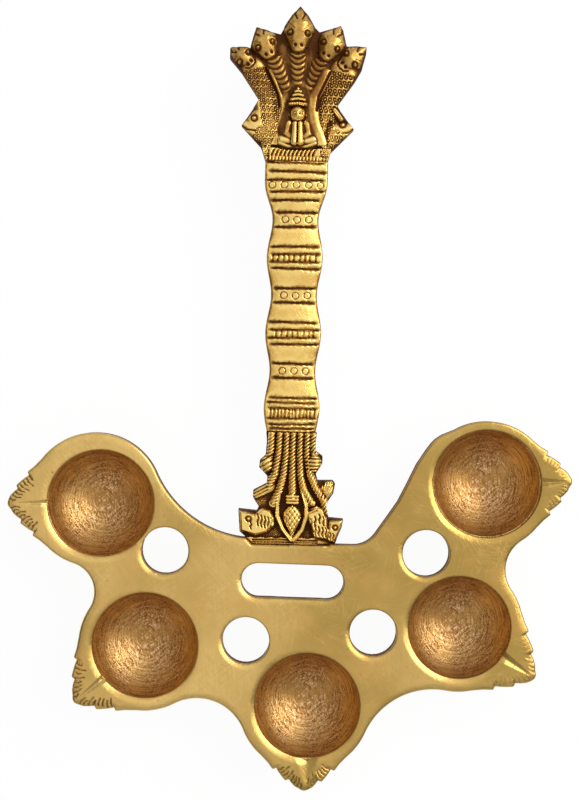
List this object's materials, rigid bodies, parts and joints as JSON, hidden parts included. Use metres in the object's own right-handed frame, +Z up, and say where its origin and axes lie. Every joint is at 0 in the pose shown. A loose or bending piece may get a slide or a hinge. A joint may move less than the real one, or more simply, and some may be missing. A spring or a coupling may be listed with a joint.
{
  "type": "aarti lamp",
  "caption": "Brass aarti lamp: star-shaped plate with turned oil bowls and pointed wick beaks, on a flat banded handle that ends in a serpent hood.",
  "frame": {"origin": "on the table, under the middle of the lamp's length and width", "axes": "+Y from the plate towards the crest of the handle, +X to the right seen from above, +Z up"},
  "size_m": [0.2014, 0.2792, 0.0263],
  "materials": {
    "plate_brass": "polished, finely scratched",
    "bowl_brass": "satin, lathe turned, browned",
    "handle_brass": "cast, polished high spots, dark recesses",
    "screw_brass": "plain"
  },
  "bodies": {
    "root": {"lamp_plate": "plate_brass", "handle_foot": "handle_brass", "handle_grip": "handle_brass", "serpent_hood": "handle_brass", "seated_figure": "handle_brass", "handle_screws": "screw_brass", "bowl_left_rear": "bowl_brass", "bowl_left_front": "bowl_brass", "bowl_front": "bowl_brass", "bowl_right_front": "bowl_brass", "bowl_right_rear": "bowl_brass"}
  },
  "joints": []
}
